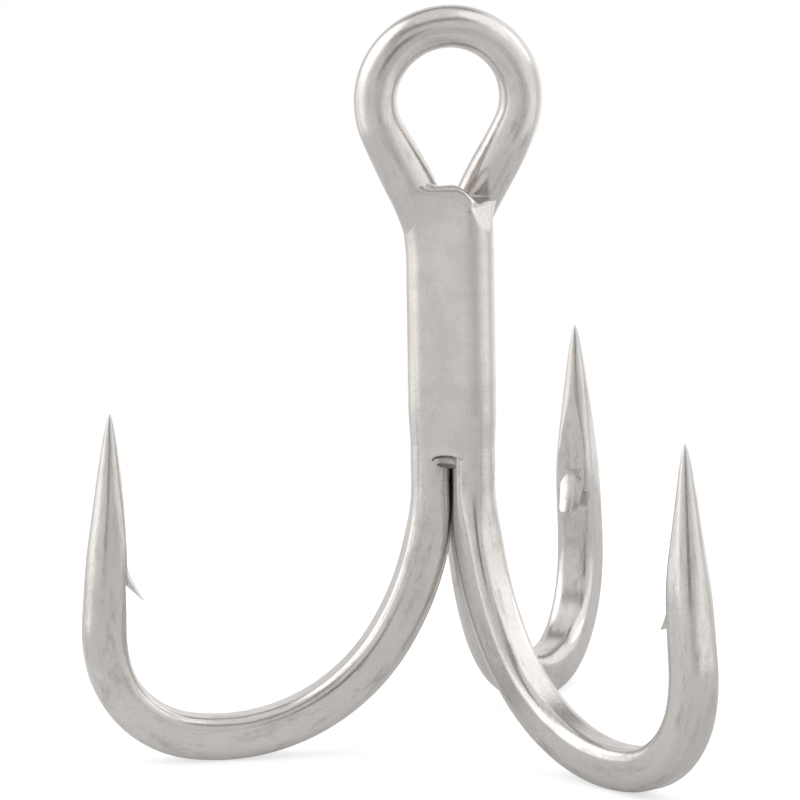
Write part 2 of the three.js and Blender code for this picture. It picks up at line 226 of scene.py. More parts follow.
# %% The line of one side of the eye
EYE_HOLE_RADIUS = 3.05
EYE_LEAN = 0.26  # how far the eye's middle lies to the left of the shank's axis
THROAT_BELOW_HOLE = 2.4
END_BELOW_THROAT = 0.6
SINGLE_TOP_DEPTH = EYE_HOLE_RADIUS + THROAT_BELOW_HOLE + END_BELOW_THROAT
NECK = {
    "left": {"angle": 26.5, "radius": 10.6, "swell": 0.2},
    "back": {"angle": 24.5, "radius": 5.6, "swell": 0.13},
}


def strand_rows(name):
    """The traced line, and the heights at which it leaves the loop and reaches the shank."""
    neck = NECK[name]
    outward = outward_of(name)[0]
    loop = EYE_HOLE_RADIUS + WIRE_RADIUS
    reach = (outward * SHANK_RADIUS + EYE_LEAN) * np.sign(outward)
    slope = math.radians(neck["angle"])
    flare = neck["radius"] * (1 - math.cos(slope))
    straight = (loop * math.cos(slope) - reach - flare) / math.sin(slope)
    moves = [(loop, -(90 + neck["angle"])), (None, straight), (neck["radius"], neck["angle"])]
    rows = trace((0.0, loop, math.pi / 2, 0.0), moves)
    neck_end = rows[-1][1]
    rows += trace(rows[-1], [(None, BEND_DEPTH + neck_end)])[1:]
    return np.array(rows), -loop * math.sin(slope), neck_end


print(f"the single hook's wire ends {SINGLE_TOP_DEPTH:.2f} mm below the middle of the eye")

# %% [markdown]
# A run of wire is kept as one table of columns. Besides place, direction and side, a station
# says how much of the forging it has, outside and inside, the radius it is ground to, how much
# it swells, and how far its inside may stand out. Plain round wire is the rule, so only what
# differs from it is given.

# %% Stations of the eye and the shank


def smooth_step(value, low, high):
    share = np.clip((value - low) / (high - low), 0, 1)
    return share * share * (3 - 2 * share)


def wire_run(place, tangent, side, **special):
    """A run of stations: round wire, except for the columns that are given."""
    count = len(place)
    plain = {
        "forged": np.zeros((count, 2)),
        "ground": np.full(count, np.inf),
        "swell": np.zeros(count),
        "inner": np.full(count, np.inf),
    }
    return {"place": place, "tangent": tangent, "side": side, **plain, **special}


def strand(name):
    """One side of the double hook's wire, from the top of the eye to the start of the bend."""
    rows, neck_start, neck_end = strand_rows(name)
    mirror = np.sign(outward_of(name)[0])
    z = rows[:, 1]
    in_eye = smooth_step(z, -SINGLE_TOP_DEPTH - WIRE_RADIUS / 2, neck_start)
    depth = outward_of(name)[1] * SHANK_RADIUS * (1 - in_eye)
    place = np.column_stack([rows[:, 0] * mirror - EYE_LEAN, depth, z])
    tangent = np.gradient(place, axis=0)
    tangent[0] = [mirror, 0, 0]
    turned = smooth_step(-z, -neck_end, BEND_DEPTH)[:, None]
    side = np.array([0.0, 1.0, 0.0]) * (1 - turned) + side_of(name) * turned
    swell = np.sin(math.pi * np.clip((z - neck_end) / -neck_end, 0, 1)) ** 2
    return wire_run(place, tangent, side, swell=NECK[name]["swell"] * swell)


strands = {name: strand(name) for name in NECK}
print("stations in each strand:", {name: len(s["place"]) for name, s in strands.items()})

# %% [markdown]
# ## Bends and legs
# In the bends the maker squeezes the wire between flat dies, which makes it stiffer. The forged
# shape comes in over the first few millimetres of the bend. Going up the leg, the ground point
# takes its flats away again: early on the outside, and late on the barb's side, so that each
# flat runs out in a slanting tongue.

# %% Stations of a hook
FORGING_RAMP = 4.0
OUTER_FLAT = (4.8, 17.0)  # from the tip, where the outside has none of the forging, and all
INNER_FLAT = (2.4, 8.0)


def hook(name):
    """The bend and the leg of one hook, from the end of the shank to the tip."""
    distances = leg_distances(name)
    legs = np.array([leg_row(name, d) for d in distances])
    rows = np.array(bend_rows)
    a, z, heading = (np.concatenate([rows[:, i], legs[:, i]]) for i in range(3))
    outward, bend_length = outward_of(name), rows[-1, 3]
    from_tip = np.concatenate([bend_length - rows[:, 3] + LEG_LENGTH[name], distances])
    begun = smooth_step(bend_length + LEG_LENGTH[name] - from_tip, 0, FORGING_RAMP)
    outer, inner = (begun * smooth_step(from_tip, *fade) for fade in (OUTER_FLAT, INNER_FLAT))
    return wire_run(
        place=outward * a[:, None] + UP * z[:, None],
        tangent=outward * np.sin(heading)[:, None] - UP * np.cos(heading)[:, None],
        side=np.tile(side_of(name), (len(a), 1)),
        forged=np.column_stack([outer, inner]),
        ground=ground_radius(from_tip),
        inner=inner_limit(from_tip),
    )


hooks = {name: hook(name) for name in HOOK_ANGLE}
print("stations in each hook:", {name: len(h["place"]) for name, h in hooks.items()})

# %% [markdown]
# ## The double hook's wire
# The maker bends one wire into the eye and two hooks. Here it is joined up the same way, from
# the left hook's tip over the eye to the back hook's tip, so that it gets one unbroken skin.

# %% Join the runs


def joined(*runs):
    return {key: np.concatenate([run[key] for run in runs]) for key in runs[0]}


def reverse(run):
    back = {key: values[::-1].copy() for key, values in run.items()}
    back["tangent"] *= -1
    return back


def tail(run):
    """A run without its first station, which the run before it already has."""
    return {key: values[1:] for key, values in run.items()}


left_half, back_half = (joined(strands[name], tail(hooks[name])) for name in NECK)
double_run = joined(reverse(left_half), tail(back_half))
print("stations in the double hook's wire:", len(double_run["place"]))

# %% [markdown]
# ## The section
# The drawn wire is round, and the forged one has two side flats and rounded corners. Both
# sections have the same number of points, spread so that the same point runs along a corner for
# the whole bend. The points lie close together on the corners and far apart on the flats, which
# keeps the flats truly flat.

# %% Section points
QUARTER = 16  # points in a quarter of the section
FLAT_POINTS = 3  # of them on each half of a flat
SIDES = 4 * QUARTER
FLAT_HALF = 1.21  # half the forged section's thickness, from one side flat to the other
FORGED_CORNER = 0.72


def section_table():
    """For each point: its angle on the round wire, and its place on the forged one."""
    rows = []
    arc_points = QUARTER - 2 * FLAT_POINTS
    for quarter in range(4):
        turn = quarter * math.pi / 2
        cos, sin = math.cos(turn), math.sin(turn)
        even = quarter % 2 == 0
        halves = (FLAT_HALF, FORGED_HALF) if even else (FORGED_HALF, FLAT_HALF)
        long_x, long_y = halves[0] - FORGED_CORNER, halves[1] - FORGED_CORNER
        for i in range(QUARTER):
            if i < FLAT_POINTS:
                x, y = halves[0], long_y * (i + 0.5) / FLAT_POINTS
            elif i >= QUARTER - FLAT_POINTS:
                x, y = long_x * (QUARTER - i - 0.5) / FLAT_POINTS, halves[1]
            else:
                angle = (i - FLAT_POINTS) / (arc_points - 1) * math.pi / 2
                x = long_x + FORGED_CORNER * math.cos(angle)
                y = long_y + FORGED_CORNER * math.sin(angle)
            on_round = turn + (i + 0.5) / QUARTER * math.pi / 2
            rows.append((on_round, x * cos - y * sin, x * sin + y * cos))
    return np.array(rows)


SECTION = section_table()
print("points around the wire:", len(SECTION))

# %% [markdown]
# ## The skin of a wire
# Every station gets a ring of points in the plane across the wire. Each point slides from its
# place on the round section to its place on the forged one, the grinding draws the whole ring
# in towards the tip, and the tool's flats hold the inside of the leg back.

# %% Rings of points
GRIND_EDGE = 22  # how sharply the ground point meets the forged faces
FACE_BLEND = 0.45  # share of the radius, each way, where the outer forging gives way to the inner


def inner_signs(run):
    """+1 or -1 for each station: which way along the section's height the shank lies."""
    out = np.cross(run["tangent"], run["side"])
    leg = np.isfinite(run["inner"])
    signs = np.ones(len(out))
    to_shank = -run["place"] * [1, 1, 0]
    signs[leg] = np.sign(np.sum(out[leg] * to_shank[leg], axis=1))
    return signs


def skin_points(run):
    """Every station's ring of points, with the inside of the leg cut back to its limit."""
    tangent = run["tangent"] / np.linalg.norm(run["tangent"], axis=1)[:, None]
    side = run["side"] - tangent * np.sum(run["side"] * tangent, axis=1)[:, None]
    side /= np.linalg.norm(side, axis=1)[:, None]
    out = np.cross(tangent, side)
    sign = inner_signs(run)[:, None]
    round_x, round_y = np.cos(SECTION[:, 0]), np.sin(SECTION[:, 0])
    inward = smooth_step(sign * round_y, -FACE_BLEND, FACE_BLEND)
    forged = run["forged"][:, :1] * (1 - inward) + run["forged"][:, 1:] * inward
    x = WIRE_RADIUS * round_x * (1 - forged) + SECTION[:, 1] * forged
    y = WIRE_RADIUS * round_y * (1 - forged) + SECTION[:, 2] * forged
    y = y * (1 + run["swell"][:, None] / WIRE_RADIUS)
    wanted = WIRE_RADIUS / run["ground"][:, None]
    kept = (1 + wanted**GRIND_EDGE) ** (-1 / GRIND_EDGE)
    x, y = x * kept, y * kept
    y = sign * np.minimum(sign * y, run["inner"][:, None])
    rings = run["place"][:, None, :] + side[:, None, :] * x[..., None]
    return rings + out[:, None, :] * y[..., None]


print("points in the double hook's skin:", skin_points(double_run).size // 3)

# %% [markdown]
# The skin also carries a map that Blender calls a UV map: how far along the wire each corner of
# a face lies, and how far around it, in millimetres. The scratches of the finish will follow it.

# %% Skin meshes


def stretch_skin(bm, rings, length_at):
    """Quads from each ring of vertices to the next. length_at gives a corner's place on the map."""
    lengths = bm.loops.layers.uv.verify()
    size = len(rings[0])
    for i in range(len(rings) - 1):
        for k in range(size):
            n = (k + 1) % size
            face = bm.faces.new([rings[i][k], rings[i + 1][k], rings[i + 1][n], rings[i][n]])
            corners = [(i, k), (i + 1, k), (i + 1, k + 1), (i, k + 1)]
            for loop, (row, column) in zip(face.loops, corners):
                loop[lengths].uv = length_at(row, column)


def mesh_from(name, bm):
    bmesh.ops.recalc_face_normals(bm, faces=bm.faces)
    mesh = bpy.data.meshes.new(name)
    bm.to_mesh(mesh)
    bm.free()
    return mesh


def skin_mesh(name, run):
    """A closed mesh of quads along the run, with a fan at each end and a map of lengths."""
    steps = np.linalg.norm(np.diff(run["place"], axis=0), axis=1)
    along = np.concatenate([[0], np.cumsum(steps)])
    around = 2 * math.pi * WIRE_RADIUS / SIDES
    bm = bmesh.new()
    bm.loops.layers.uv.new("wire_length")
    rings = [[bm.verts.new(Vector(p * MM)) for p in ring] for ring in skin_points(run)]
    stretch_skin(bm, rings, lambda row, column: (along[row], column * around))
    for ring, place in ((rings[0], run["place"][0]), (rings[-1][::-1], run["place"][-1])):
        middle = bm.verts.new(Vector(place * MM))
        for k in range(SIDES):
            bm.faces.new([ring[k], ring[(k + 1) % SIDES], middle])
    return mesh_from(name, bm)


def new_piece(name, mesh):
    piece = bpy.data.objects.new(name, mesh)
    bpy.context.scene.collection.objects.link(piece)
    return piece


double_hook = new_piece("double_hook", skin_mesh("double_hook", double_run))
print("double hook faces:", len(double_hook.data.polygons))

# %% [markdown]
# ## The single hook
# The third hook is a wire of its own, cut square at its top and bevelled so that it sits down
# into the groove. Its shank is straight until the bend begins. The edge of its top is rounded
# by the same column that grinds the points.

# %% The single hook's wire
TOP_CHAMFER = 0.5
CHAMFER_STATIONS = 7


def single_shank():
    home = outward_of("front") * SHANK_RADIUS
    chamfer = np.linspace(0, 1, CHAMFER_STATIONS)
    below = SINGLE_TOP_DEPTH + TOP_CHAMFER + STEP
    depths = [*(SINGLE_TOP_DEPTH + TOP_CHAMFER * chamfer), *np.arange(below, BEND_DEPTH, STEP)]
    depths = np.array(depths)
    count = len(depths)
    ground = np.full(count, np.inf)
    ground[:CHAMFER_STATIONS] = WIRE_RADIUS - TOP_CHAMFER * (1 - np.sqrt(1 - (1 - chamfer) ** 2))
    return wire_run(
        place=home - UP * depths[:, None],
        tangent=np.tile(-UP, (count, 1)),
        side=np.tile(side_of("front"), (count, 1)),
        ground=ground,
    )


single_run = joined(single_shank(), hooks["front"])
single_hook = new_piece("single_hook", skin_mesh("single_hook", single_run))
print("single hook faces:", len(single_hook.data.polygons))

# %% [markdown]
# The bevel is a plane across the outer corner of the wire's end. Every point beyond that plane
# is brought straight back onto it, which keeps the skin's quads as they are.

# %% Bevel the single hook's end
BEVEL_LENGTH = 1.45
BEVEL_DEPTH = 0.55
BEVEL_ANGLE = math.radians(-42)  # the bevel's direction around the shank, from +X


def past_bevel(points):
    """How far points in the shank lie outside the bevel's plane, and the way out of it."""
    direction = np.array([math.cos(BEVEL_ANGLE), math.sin(BEVEL_ANGLE), 0.0])
    home = outward_of("front") * SHANK_RADIUS
    height = np.minimum(points[..., 2] + SINGLE_TOP_DEPTH + BEVEL_LENGTH, BEVEL_LENGTH)
    reach = WIRE_RADIUS - BEVEL_DEPTH * height / BEVEL_LENGTH
    return (points - home) @ direction - reach, direction


def cut_bevel(mesh):
    moved = 0
    for vertex in mesh.vertices:
        place = np.array(vertex.co) / MM
        beyond, direction = past_bevel(place)
        if place[2] > -SINGLE_TOP_DEPTH - BEVEL_LENGTH and beyond > 0:
            vertex.co = Vector((place - direction * beyond) * MM)
            moved += 1
    return moved


print("points brought back onto the bevel:", cut_bevel(single_hook.data))

# %% [markdown]
# ## Barbs
# The tongue is a small closed solid: crowned on top like the wire it was sliced from, flat
# below, and thinning to a blunt edge. Its section is drawn first, at a share of its length. Its
# top and its underside have their own distances from the tip, since the chisel came in aslant.

# %% A barb's section
TONGUE_START = 8.7  # this and the next two are distances from the hook's tip
TONGUE_LIFT = 9.0
TONGUE_END = 11.06
UNDERSIDE_LAG = 0.5  # how much further down the leg the underside starts
UNDERSIDE_SLOPE = 1.16
ROOT_LENGTH = 0.3  # how far the underside goes on sinking into the leg above the barb's bend
BARB_REACH = 0.98
BARB_CURVE = 1.33
TONGUE_HALF = 0.74
TONGUE_END_HALF = 0.56
NARROWING = (0.35, 1.0)  # shares of the length between which the sides draw in
ROUNDING = (0.93, 1.0)  # shares of the length between which the end is rounded
ROUNDED_OFF = 0.35
EDGE_THICKNESS = 0.02
ACROSS = 13


def tongue_ring(u):
    """Points around the section, each (across, inwards from the leg's middle, from the tip)."""
    top_at = TONGUE_START + (TONGUE_END - TONGUE_START) * u
    lift = max(0.0, (top_at - TONGUE_LIFT) / (TONGUE_END - TONGUE_LIFT))
    top = FORGED_HALF - PRESS_DEPTH * (1 - lift) + BARB_REACH * lift**BARB_CURVE
    under_at = TONGUE_START + UNDERSIDE_LAG + (TONGUE_END - TONGUE_START - UNDERSIDE_LAG) * u
    sunk = max(-ROOT_LENGTH, under_at - BARB_BEND)
    under = min(FORGED_HALF - CUT_DEPTH + UNDERSIDE_SLOPE * sunk, top - EDGE_THICKNESS)
    half = TONGUE_HALF + (TONGUE_END_HALF - TONGUE_HALF) * smooth_step(u, *NARROWING)
    half *= math.sqrt(1 - ROUNDED_OFF * smooth_step(u, *ROUNDING) ** 2)
    xs = np.linspace(-half, half, ACROSS)
    crowned = np.maximum(top - (xs**2) / (2 * WIRE_RADIUS), under + EDGE_THICKNESS)
    upper = [(x, y, top_at) for x, y in zip(xs, crowned)]
    lower = [(x, under, under_at) for x in xs[::-1]]
    return upper + lower


print(f"a barb's edge stands {tongue_ring(1.0)[ACROSS // 2][1]:.2f} mm from the leg's middle")

# %% [markdown]
# The tongue starts inside the leg and is joined to it by a Boolean union, so that the finished
# hook is one skin with no faces left inside. Two overlapping meshes would be simpler, but each
# barb would then be a loose piece with a hard line around its root.

# %% Raise the barbs
TONGUE_RINGS = 25


def tongue_mesh(name):
    sections = [tongue_ring(u) for u in np.linspace(0, 1, TONGUE_RINGS)]
    outward = outward_of(name)
    sideways = np.cross(outward, UP)
    bm = bmesh.new()
    bm.loops.layers.uv.new("wire_length")
    rings = []
    for section in sections:
        ring = []
        for x, y, at in section:
            a, z, heading = leg_row(name, at)
            inward = outward * math.cos(heading) + UP * math.sin(heading)
            point = outward * a + UP * z + inward * y + sideways * x
            ring.append(bm.verts.new(Vector(point * MM)))
        rings.append(ring)
    size = len(rings[0])
    stretch_skin(bm, rings, lambda row, k: (row * FINE_STEP, sections[row][k % size][0]))
    bm.faces.new(rings[0][::-1])
    bm.faces.new(rings[-1])
    return mesh_from(f"{name}_barb", bm)


def add_barb(piece, name):
    tongue = new_piece(f"{name}_tongue", tongue_mesh(name))
    union = piece.modifiers.new("barb", "BOOLEAN")
    union.operation = "UNION"
    union.solver = "EXACT"
    union.object = tongue
    bpy.context.view_layer.update()
    evaluated = piece.evaluated_get(bpy.context.evaluated_depsgraph_get())
    mesh = bpy.data.meshes.new_from_object(evaluated)
    piece.modifiers.clear()
    piece.data = mesh
    bpy.data.objects.remove(tongue)


add_barb(double_hook, "left")
add_barb(double_hook, "back")
add_barb(single_hook, "front")
print("faces with barbs:", len(double_hook.data.polygons), len(single_hook.data.polygons))

# %% [markdown]
# ## Braze metal
# Molten braze is drawn into every narrow gap and pulls itself smooth across the grooves, so the
# shank looks like one rounded three-sided bar. A shape like this has no simple profile. It is
# easiest to describe by a distance: how far a point is from the metal, negative inside. The
# surface is where that distance is zero. First come the tools: the distance to a triangle, and
# ways to join and cut distances with a rounded edge.

# %% Distances


def segment_distance(point, start, end):
    along = end - start
    share = np.sum((point - start) * along, axis=-1) / np.sum(along * along, axis=-1)
    nearest = start + np.clip(share, 0, 1)[..., None] * along
    return np.linalg.norm(point - nearest, axis=-1)


def cross_2d(a, b):
    return a[..., 0] * b[..., 1] - a[..., 1] * b[..., 0]


def triangle_distance(point, corners):
    pairs = list(zip(corners, corners[1:] + corners[:1]))
    edge = np.min([segment_distance(point, a, b) for a, b in pairs], axis=0)
    inside = np.min([cross_2d(b - a, point - a) for a, b in pairs], axis=0) > 0
    return np.where(inside, -edge, edge)


def smooth_min(a, b, width):
    overlap = np.maximum(width - np.abs(a - b), 0) / width
    return np.minimum(a, b) - overlap * overlap * width / 4


def smooth_max(a, b, width):
    return -smooth_min(-a, -b, width)


def filleted(height, gap, radius):
    """Distance above a level top that rises in a fillet to a wall, which is a gap away."""
    above, beside = np.maximum(radius - height, 0), np.maximum(radius - gap, 0)
    return radius - np.hypot(above, beside)


print(f"where two surfaces cross, a join of width 1 adds {-smooth_min(0, 0, 1):.2f}")

# %% [markdown]
# The metal coats the wires and thins out to nothing where it ends, a little above the bends and
# at the single hook's end. At the bottom it sinks into the grooves as it cools, except for one
# small bead in the front groove.

# %% The coat over the wires
SUNK = 0.02  # how deep a hidden skin lies inside the metal over it
BRAZE_COAT = 0.1
BRAZE_BOTTOM = BEND_DEPTH - 1.0
FEATHER = 3.6  # length over which the coat thins out to nothing on the wires
TOP_FEATHER = (-2.5, 0.5)  # where it does so at the top, from the single hook's end
HOLLOW_LENGTH = 0.85  # at the bottom, where the fill sinks into the grooves
HOLLOW_DEPTH = 0.5
BEAD_HEIGHT = 0.12
BEAD_MIDDLE = (0.1, 21.25)  # across the front groove, and down
BEAD_SIZE = (0.8, 0.45)
FRONT_GROOVE = math.radians(240)
GROOVE_OUT = np.array([math.cos(FRONT_GROOVE), math.sin(FRONT_GROOVE), 0.0])
GROOVE_ACROSS = np.array([-GROOVE_OUT[1], GROOVE_OUT[0], 0.0])


def coat_at(points):
    """How far the braze metal stands over the wires: less than nothing where it has ended."""
    z = points[..., 2]
    ended = smooth_step(-z, BRAZE_BOTTOM - FEATHER, BRAZE_BOTTOM - HOLLOW_LENGTH / 2)
    ended = ended + smooth_step(z, *(edge - SINGLE_TOP_DEPTH for edge in TOP_FEATHER))
    hollow = np.maximum(1 - (BRAZE_BOTTOM + z) / HOLLOW_LENGTH, 0) ** 2
    across = (points @ GROOVE_ACROSS - BEAD_MIDDLE[0]) / BEAD_SIZE[0]
    bead = np.exp(-(across**2) - ((z + BEAD_MIDDLE[1]) / BEAD_SIZE[1]) ** 2)
    bead = np.where(points @ GROOVE_OUT > 0, bead, 0)
    coat = BRAZE_COAT - (BRAZE_COAT + SUNK) * ended
    return coat - HOLLOW_DEPTH * hollow * (1 - bead) + BEAD_HEIGHT * bead


print(f"halfway down the shank the coat is {coat_at(-UP * BEND_DEPTH / 2):.2f} mm thick")

# %% [markdown]
# At each height the metal is a triangle between the three wires' middles, grown by the wire's
# radius and the coat. Its top closes the throat of the eye: it rises to each side of the eye in
# a fillet, falls towards the back, and slopes down to the single hook's end, whose bevel shows
# through it. Inside the wires the skin may go on, since nothing there is seen.

# %% The braze metal as a distance
BRAZE_TOP = 4.83  # below the middle of the eye, at the front of the throat
TOP_FRONT = -1.3  # where the front of the throat lies along Y
TOP_FALL = 0.35  # how steeply the top falls towards the back
STRAND_LEAN = 0.9  # the cosine of the way the eye's two sides lean
THROAT_FILLET = 0.55  # where the top meets the sides of the eye
TOP_ROUNDING = 0.8
TUCK = 0.3  # share of the way that the front of the throat draws back between the eye's sides
TUCK_START = 6.3  # below the middle of the eye
TUCK_LIMIT = 1.5  # it may go on above the top, to this many times the share
TUCK_POWER = 1.2  # above 1, it comes in softly
END_COVER = 0.12  # how high the braze metal stands over the single hook's end
END_FILLET = 0.25
END_ROUNDING = 0.4
WEB_CORNER = np.array([0.06, TOP_FRONT, -BRAZE_TOP])  # where the slope to that end begins
WEB_OUT = np.array([0.777, 0.183, 0.6])  # and the way out of that slope
WEB_ROUNDING = 0.12
BEVEL_COAT = 0.015
BEVEL_ROUNDING = 0.08
CORE_TOP = 3.9  # the skin goes on up to here inside the wires


def strand_middle(name, z):
    place = strands[name]["place"][::-1]
    return np.stack([np.interp(z, place[:, 2], place[:, i]) for i in range(2)], axis=-1)


def braze_distance(points):
    """Distance in millimetres from points to the braze metal's skin, without its wires."""
    flat, z = points[..., :2], points[..., 2]
    left, back = strand_middle("left", z), strand_middle("back", z)
    home = np.broadcast_to(outward_of("front")[:2] * SHANK_RADIUS, left.shape)
    risen = np.clip((z + TUCK_START) / (TUCK_START - BRAZE_TOP), 0, TUCK_LIMIT)
    tucked = TUCK * risen[..., None] ** TUCK_POWER
    front = home * (1 - tucked) + (left + back) / 2 * tucked
    body = triangle_distance(flat, [left, front, back]) - WIRE_RADIUS - coat_at(points)
    # The top of the throat.
    strand_gap = [np.linalg.norm((flat - c) * [STRAND_LEAN, 1], axis=-1) for c in (left, back)]
    strand_gap = np.min(strand_gap, axis=0) - WIRE_RADIUS + SUNK
    height = z + BRAZE_TOP + TOP_FALL * (points[..., 1] - TOP_FRONT)
    body = smooth_max(body, filleted(height, strand_gap, THROAT_FILLET), TOP_ROUNDING)
    # The slope from there to the single hook's end, and the bevel.
    over_end = filleted(z + SINGLE_TOP_DEPTH - END_COVER, strand_gap, END_FILLET)
    web = smooth_min((points - WEB_CORNER) @ WEB_OUT, over_end, WEB_ROUNDING)
    body = smooth_max(body, web, END_ROUNDING)
    body = smooth_max(body, past_bevel(points)[0] - BEVEL_COAT, BEVEL_ROUNDING)
    body = np.maximum(body, -z - BRAZE_BOTTOM)
    return np.maximum(body, z + CORE_TOP)


from_axis = -braze_distance(-UP * BEND_DEPTH / 2)
print(f"the braze metal's faces lie {from_axis:.2f} mm from the shank's axis")

# %% [markdown]
# As it shrinks, the last metal to set leaves a small hollow at the lower end of the front
# groove. It is an ellipsoid that is taken out of the metal.

# %% The pit in the braze metal
GROOVE_FACE = SHANK_RADIUS / 2 + WIRE_RADIUS  # from the shank's axis to the front groove's face
PIT_AXES = (GROOVE_ACROSS, GROOVE_OUT, -UP)
PIT_MIDDLE = (0.1, GROOVE_FACE + 0.14, BRAZE_BOTTOM - 0.4)  # along those three axes
PIT_HALF = (0.98, 0.6, 0.42)


def with_pit(points):
    """Distance to the braze metal with its pit."""
    axes = zip(PIT_AXES, PIT_MIDDLE, PIT_HALF)
    scaled = [(points @ axis - middle) / half for axis, middle, half in axes]
    pit = (np.linalg.norm(np.stack(scaled), axis=0) - 1) * min(PIT_HALF)
    return np.maximum(braze_distance(points), -pit)


print(f"the pit is {2 * PIT_HALF[0]:.2f} mm wide and {2 * PIT_HALF[2]:.2f} mm high")

# %% [markdown]
# ## From a distance to a mesh
# A surface net turns the distances into a mesh. Each grid cell that the surface passes through
# gets one vertex, at the average of the places where it crosses the cell's edges, and each
# crossed grid edge gets one quad between the four cells around it. Blender's metaballs would do
# this too, but they can't follow a distance of our own.

# %% Surface net
CELL = 0.08


def quads_around(axis, crossed, starts_inside, cells):
    """One quad for each crossed grid edge along an axis, through the four cells around it."""
    others = [i for i in range(3) if i != axis]
    inner = [slice(None)] * 3
    for other in others:
        inner[other] = slice(1, -1)
    where = np.argwhere(crossed[tuple(inner)])
    where[:, others] += 1
    loop = []
    for offsets in ((1, 1), (0, 1), (0, 0), (1, 0)):
        at = where.copy()
        at[:, others] -= offsets
        loop.append(cells[tuple(at.T)])
    loop = np.stack(loop, axis=1)
    flip = starts_inside[tuple(where.T)] == (axis == 1)
    loop[flip] = loop[flip][:, ::-1]
    return loop


def surface_net(distance, low, high):
    """Points and quads of the surface where a distance is zero, between two corners of a box."""
    axes = [np.arange(a, b + CELL, CELL) for a, b in zip(low, high)]
    grid = np.stack(np.meshgrid(*axes, indexing="ij"), axis=-1)
    value = distance(grid)
    shape = [n - 1 for n in value.shape]
    cells = np.arange(np.prod(shape)).reshape(shape)
    total, hits = np.zeros([*shape, 3]), np.zeros(shape)
    quads = []
    for axis in range(3):
        first, second = [slice(None)] * 3, [slice(None)] * 3
        first[axis], second[axis] = slice(None, -1), slice(1, None)
        first, second = tuple(first), tuple(second)
        a, b = value[first], value[second]
        crossed = (a < 0) != (b < 0)
        share = np.where(crossed, a / np.where(crossed, a - b, 1), 0)[..., None]
        place = grid[first] * (1 - share) + grid[second] * share
        others = [i for i in range(3) if i != axis]
        for offsets in itertools.product((0, 1), repeat=2):
            pick = [slice(None)] * 3
            for other, offset in zip(others, offsets):
                pick[other] = slice(offset, shape[other] + offset)
            hit = crossed[tuple(pick)]
            total += np.where(hit[..., None], place[tuple(pick)], 0)
            hits += hit
        quads.append(quads_around(axis, crossed, a < 0, cells))
    used = hits.reshape(-1) > 0
    index = np.cumsum(used) - 1
    points = (total.reshape(-1, 3)[used]) / hits.reshape(-1)[used][:, None]
    return points, index[np.concatenate(quads)]


print(f"the net's cells are {CELL} mm wide")

# %% [markdown]
# The net's vertices are then moved onto the true surface, down the distance's steepest slope,
# so that no trace of the grid shows in the reflections.

# %% The braze metal's mesh
SETTLING_ROUNDS = 4
NUDGE = 0.01  # each way, to find the slope
LEAST_SLOPE = 0.3  # keeps the steps short where the distance hardly changes
NET_LOW = (-5.4, -3.4, -BRAZE_BOTTOM - 0.2)
NET_HIGH = (4.6, 3.4, -CORE_TOP + 0.2)


def settle(points, distance):
    """Moves points onto the surface along the distance's steepest way."""
    for _ in range(SETTLING_ROUNDS):
        value = distance(points)
        rises = [distance(points + s) - distance(points - s) for s in np.eye(3) * NUDGE]
        slope = np.stack(rises, axis=-1) / (2 * NUDGE)
        size = np.maximum(np.sum(slope * slope, axis=-1), LEAST_SLOPE)
        points = points - np.clip(value / size, -CELL / 2, CELL / 2)[:, None] * slope
    return points


net_points, net_quads = surface_net(with_pit, NET_LOW, NET_HIGH)
net_points = settle(net_points, with_pit)
braze_mesh = bpy.data.meshes.new("braze_metal")
braze_mesh.from_pydata((net_points * MM).tolist(), [], net_quads.tolist())
braze_mesh.update()
braze_metal = new_piece("braze_metal", braze_mesh)
print("braze metal faces:", len(braze_mesh.polygons))

# %% [markdown]
# ## Smooth shading
# Shading runs smoothly over the skin, except where two faces meet at a real edge, such as the
# sides of a barb. An angle tells the two apart.

# %% Shade the pieces
SHARP = math.radians(32)
PIECES = {"double_hook": double_hook, "single_hook": single_hook, "braze_metal": braze_metal}
for piece in PIECES.values():
    piece.data.polygons.foreach_set("use_smooth", [True] * len(piece.data.polygons))
    piece.data.set_sharp_from_angle(angle=SHARP)
    print(piece.name, "has", len(piece.data.vertices), "vertices")

# %% [markdown]
# ## Writing a shader as arithmetic
# A node tree reads badly as a list of links. A small class that wraps a socket makes Python
# build the Math nodes from ordinary expressions, so a mask can be written `1 - dirt * 0.5`.
# Every other node comes from one function, which takes the node's type, its settings and what
# goes into its sockets.

# %% Shader arithmetic


class Socket:
    """One output in a node tree. Arithmetic on it adds Math nodes and gives a new Socket."""

    def __init__(self, tree, output):
        self.tree = tree
        self.output = output

    def math(self, operation, *values):
        return add(self.tree, "ShaderNodeMath", {"operation": operation}, dict(enumerate(values)))

    def __add__(self, other):
        return self.math("ADD", self, other)

    __radd__ = __add__

    def __sub__(self, other):
        return self.math("SUBTRACT", self, other)

    def __rsub__(self, other):
        return self.math("SUBTRACT", other, self)

    def __mul__(self, other):
        return self.math("MULTIPLY", self, other)

    __rmul__ = __mul__

    def __truediv__(self, other):
        return self.math("DIVIDE", self, other)

    def __rtruediv__(self, other):
        return self.math("DIVIDE", other, self)

    def between(self, low, high):
        """0 below low and 1 above high, with a smooth ramp between them."""
        settings = {"interpolation_type": "SMOOTHSTEP"}
        return add(self.tree, "ShaderNodeMapRange", settings, {0: self, 1: low, 2: high})

    def vector(self, operation, other=(0, 0, 0), output="Vector"):
        """Vector Math on this socket and another vector."""
        settings = {"operation": operation}
        vectors = {0: self, 1: tuple(other)}
        return add(self.tree, "ShaderNodeVectorMath", settings, vectors, output)

    def dot(self, way):
        return self.vector("DOT_PRODUCT", way, "Value")


